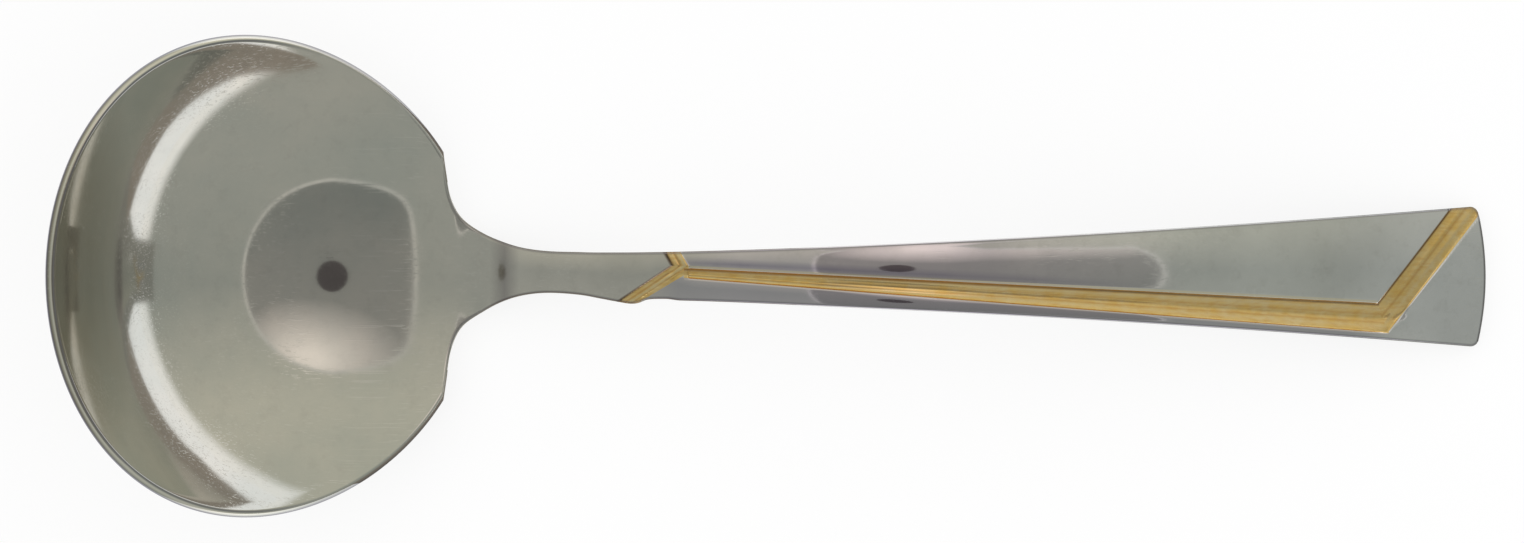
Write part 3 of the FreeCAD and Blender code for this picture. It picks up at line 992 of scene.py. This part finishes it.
def struck_steel(g, x, y, at, cloud, steel):
    """The steel of the handle's top: painted shade on its lower facet and above the step, and painted
    highlight and shade lines beside the gold.
    """
    below = g.mul(g.step(g.sub(at["gold"], y)), g.ramp(at["mitre"], -1.0, 5.0), g.step(at["left"]))
    # Painted shade on the lower facet
    steel = g.mix_color(g.mul(below, g.ramp(x, *LOWER_FACET_PAINTED_SHADE_X, 0.0, 0.75)), steel, LOWER_FACET_PAINTED_SHADE)
    over_step, under_gold = g.sub(y, at["step"]), g.sub(at["gold"], y)
    # Painted shade above the step, patchy by the cloud
    above_step_shade = g.mul(g.band(over_step, 0.75, 0.75), at["on_long"], g.ramp(x, *ABOVE_STEP_PAINTED_SHADE_X))
    steel = g.mix_color(g.mul(above_step_shade, g.ramp(cloud, 0.3, 0.6, 0.25, 0.75)), steel, ABOVE_STEP_PAINTED_SHADE)
    # Pale gold of the plated ridge edge over the step, painted as a highlight, then a painted highlight
    # under the gold
    steel = g.mix_color(g.mul(g.band(over_step, 0.22, 0.2), at["on_long"], 0.7), steel, PALE_GOLD_AND_PAINTED_HIGHLIGHT)
    steel = g.mix_color(g.mul(g.band(under_gold, 0.16, 0.16), at["on_long"], 0.6), steel, GOLD_EDGE_PAINTED_HIGHLIGHT)
    # Painted shade line beside the chevron's left edge
    foot_shade_line = g.mul(g.band(at["left"], -0.12, 0.3), g.step(g.sub(x, FOOT_START)))
    return g.mix_color(g.mul(foot_shade_line, 0.85), steel, STEP_SHADE)


def with_painted_edge_lines(g, color):
    """The colour with the painted shade and painted highlight lines that run round the rim and the handle's
    edge.
    """
    edge = g.share("edge_tone")
    color = g.mix_color(g.ramp(edge, 0.5, 0.0), color, EDGE_PAINTED_SHADE)
    return g.mix_color(g.ramp(edge, 0.5, 1.0), color, EDGE_PAINTED_HIGHLIGHT)


def metal_roughness(g, place, haze, scratches, mask):
    """Polished steel that is duller in haze and scratches, and a softer gold."""
    fine = g.noise(place, FINE_SCALE, 2.0, 0.6)
    rough = g.ramp(haze, 0.35, 0.7, 0.05, 0.10)
    rough = g.add(rough, g.mul(scratches, 0.07))
    rough = g.add(rough, g.mul(g.ramp(fine, 0.55, 0.75), 0.03))
    return g.add(rough, g.mul(mask, 0.08))


def metal_bump(g, place, scratches):
    """Slight waves in the polish, with the scratches cut into it."""
    bump = g.node("ShaderNodeBump")
    bump.inputs["Strength"].default_value = BUMP_STRENGTH
    bump.inputs["Distance"].default_value = BUMP_DEPTH
    waves = g.mul(g.noise(place, WAVE_SCALE, 2.0, 0.4), 0.5)
    g.put(g.sub(waves, g.mul(scratches, 0.35)), bump.inputs["Height"])
    return bump.outputs[0]


def ladle_material():
    """Steel all over, with gold in the stripe, the slash and the chevron on the top side."""
    material, g = new_material("ladle_steel_and_gold")
    place, parts = g.place()
    x, y = g.mul(parts[0], 1.0 / MM), g.mul(parts[1], 1.0 / MM)
    haze = g.noise(place, HAZE_SCALE, 4.0, 0.55)
    cloud = g.noise(place, CLOUD_SCALE, 5.0, 0.6)
    scratches = scratch_lines(g, place, haze)
    top_side = g.share("top_side")
    at = stripe_places(g, x, y)
    long_part, slash, bead = gold_parts(g, x, y, at)
    mask = g.mul(g.math("MAXIMUM", g.math("MAXIMUM", long_part, slash), bead), top_side)
    gold = gold_color(g, x, y, place, at, (long_part, slash, bead))
    plain = plain_steel(g, x, place, cloud, scratches)
    steel = g.mix_color(top_side, plain, struck_steel(g, x, y, at, cloud, plain))
    shader = g.node("ShaderNodeBsdfPrincipled")
    shader.inputs["Metallic"].default_value = 1.0
    g.put(with_painted_edge_lines(g, g.mix_color(mask, steel, gold)), shader.inputs["Base Color"])
    g.put(metal_roughness(g, place, haze, scratches, mask), shader.inputs["Roughness"])
    g.put(metal_bump(g, place, scratches), shader.inputs["Normal"])
    g.finish("ShaderNodeOutputMaterial", shader)
    return material


def build_ladle():
    vertices, faces, shares = ladle_mesh()
    body = add_mesh("ladle_body", vertices, faces)
    for name, values in shares.items():
        body.data.attributes.new(name, "FLOAT", "POINT").data.foreach_set("value", values)
    body.data.polygons.foreach_set("use_smooth", [True] * len(body.data.polygons))
    body.data.materials.append(ladle_material())
    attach(body, "root")
    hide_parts("ladle")


def mirrored_only(obj, material_name, tone):
    """Makes a stage piece glow in a tone, or in what a function of its nodes gives, for the metal alone."""
    material, g = new_material(material_name)
    glow = g.node("ShaderNodeEmission")
    g.put(tone(g) if callable(tone) else tone, glow.inputs["Color"])
    g.finish("ShaderNodeOutputMaterial", glow)
    obj.data.materials.append(material)
    obj.visible_camera = False
    obj.visible_diffuse = False
    obj.visible_shadow = False
    obj.visible_transmission = False


def round_angles():
    return np.linspace(0.0, 2.0 * math.pi, OUTLINE_POINTS, endpoint=False)


def hood_outline(scale):
    """The hood's edge, round towards the handle and squared off over the bowl."""
    angle = round_angles()
    x = HOOD_RADIUS * np.cos(angle)
    squared = -HOOD_FLAT * (1.0 - np.abs(np.sin(angle)) ** HOOD_CORNER)
    x = np.where(x < 0.0, squared, x) * scale
    y = HOOD_HALF_WIDTH * np.sin(angle) * scale
    return np.stack([x + CAMERA[0], y + CAMERA[1], np.full_like(x, CAMERA[2] + HOOD_LIFT)], -1)


def hood_color(g):
    """Grey, a little lighter on one side, with the soft glow of a lamp."""
    parts = g.place()[1]
    base = g.mix_color(g.ramp(parts[1], *HOOD_TONE_Y), *HOOD_TONES)
    lamp_x = g.mul(g.sub(parts[0], LAMP_PLACE[0]), 1.0 / LAMP_HALF[0])
    lamp_y = g.mul(g.sub(parts[1], LAMP_PLACE[1]), 1.0 / LAMP_HALF[1])
    away = g.math("SQRT", g.add(g.mul(lamp_x, lamp_x), g.mul(lamp_y, lamp_y)))
    return g.mix_color(g.ramp(away, 1.0, 0.15), base, LAMP_TONE)


def flat_ring(name, outer, inner, lift):
    """A flat ring between two closed outlines of the same number of points."""
    n = len(outer)
    vertices = np.concatenate([outer, inner]) + [0.0, 0.0, lift]
    faces = [(k, (k + 1) % n, n + (k + 1) % n, n + k) for k in range(n)]
    return add_mesh(name, vertices, faces)


def bent_card(name, lines):
    """A thin card through lines of the same number of points."""
    points = np.array(lines, float)
    n = points.shape[1]
    faces = []
    for row in range(len(lines) - 1):
        first = row * n
        faces.extend((first + k, first + k + 1, first + n + k + 1, first + n + k) for k in range(n - 1))
    return add_mesh(name, points.reshape(-1, 3) * MM, faces)


def side_card(name, top, foot_y):
    """A card beside the bowl that slants from its top line down to the table near the bowl."""
    return bent_card(name, [top, [(x, foot_y, CARD_FOOT_Z) for x, _, _ in top]])


def build_lens_and_hood():
    """The dark lens over the ladle, the hood round it and the bright band along the hood's edge."""
    angle = round_angles()
    disc = np.stack([LENS_HALF[0] * np.cos(angle) + CAMERA[0], LENS_HALF[1] * np.sin(angle) + CAMERA[1],
                     np.full_like(angle, CAMERA[2])], -1)
    lens = flat_ring("lens_reflection", disc, (disc - CAMERA) * 0.01 + CAMERA, LENS_LIFT)
    hood = flat_ring("hood_reflection", hood_outline(1.0), hood_outline(0.02), 0.0)
    band = flat_ring("hood_band_reflection", hood_outline(1.0), hood_outline(BAND_INNER), BAND_DROP)
    mirrored_only(lens, "lens_dark", LENS_TONE)
    mirrored_only(hood, "hood_inside", hood_color)
    mirrored_only(band, "hood_band", BAND_TONE)


def build_cards():
    """Dark cards beside the bowl that paint shade into its reflections where the bowl mirrors itself, and a
    grey card behind and under the handle that darkens parts of its reflections.
    """
    upper = side_card("card_upper_reflection", CARD_UPPER, -CARD_FOOT_Y)
    lower = side_card("card_lower_reflection", CARD_LOWER, CARD_FOOT_Y)
    far = bent_card("card_far_reflection", CARD_FAR)
    for card, tone in ((upper, PAINTED_SHADE_CARD), (lower, PAINTED_SHADE_CARD), (far, FAR_CARD)):
        mirrored_only(card, card.name + "_tone", tone)


def build_world():
    """White for the camera and on the table; for the metal, a bright horizon under grey walls."""
    world = bpy.data.worlds.new("studio")
    bpy.context.scene.world = world
    world.use_nodes = True
    g = Graph(world.node_tree)
    parts = g.place("Generated")[1]
    wall = g.mix_color(g.ramp(parts[1], *WALL_BELOW_Y), WALL_TONE, WALL_BELOW)
    wall = g.mix_color(g.ramp(parts[1], *WALL_ABOVE_Y), wall, WALL_ABOVE)
    mirrored = g.mix_color(g.ramp(parts[2], *HORIZON_HEIGHT), HORIZON_TONE, wall)
    is_mirrored = g.node("ShaderNodeLightPath").outputs["Is Glossy Ray"]
    back = g.node("ShaderNodeBackground")
    g.put(g.mix_color(is_mirrored, WHITE, mirrored), back.inputs["Color"])
    g.finish("ShaderNodeOutputWorld", back)


def build_floor():
    """A plain white table that keeps the ladle's soft shadow."""
    half = FLOOR_HALF
    corners = [(-half, -half, 0.0), (half, -half, 0.0), (half, half, 0.0), (-half, half, 0.0)]
    floor = add_mesh("floor", np.array(corners) - [0.0, 0.0, FLOOR_DROP], [(0, 1, 2, 3)])
    material, g = new_material("white_table")
    matt = g.node("ShaderNodeBsdfDiffuse")
    grain = g.noise(g.place()[0], FLOOR_GRAIN_SCALE, 2.0, 0.5)
    g.put(g.mix_color(grain, FLOOR_TONE, WHITE), matt.inputs["Color"])
    white = g.node("ShaderNodeEmission")
    path = g.node("ShaderNodeLightPath")
    seen = g.math("MAXIMUM", path.outputs["Is Camera Ray"], path.outputs["Is Glossy Ray"])
    both = g.node("ShaderNodeMixShader")
    g.put(g.mul(seen, FLOOR_GLOW), both.inputs[0])
    g.put(matt.outputs[0], both.inputs[1])
    g.put(white.outputs[0], both.inputs[2])
    g.finish("ShaderNodeOutputMaterial", both)
    floor.data.materials.append(material)


def build_camera():
    """A camera straight over the ladle, as in the photograph."""
    data = bpy.data.cameras.new("camera")
    data.sensor_width = SENSOR
    data.lens = SENSOR * CAMERA[2] / VIEW_WIDTH
    data.clip_start = NEAREST
    camera = bpy.data.objects.new("camera", data)
    camera.location = CAMERA
    bpy.context.scene.collection.objects.link(camera)
    bpy.context.scene.camera = camera


build_camera()
build_world()
build_floor()
build_lens_and_hood()
build_cards()
build_ladle()
bpy.context.scene.view_settings.view_transform = "Standard"
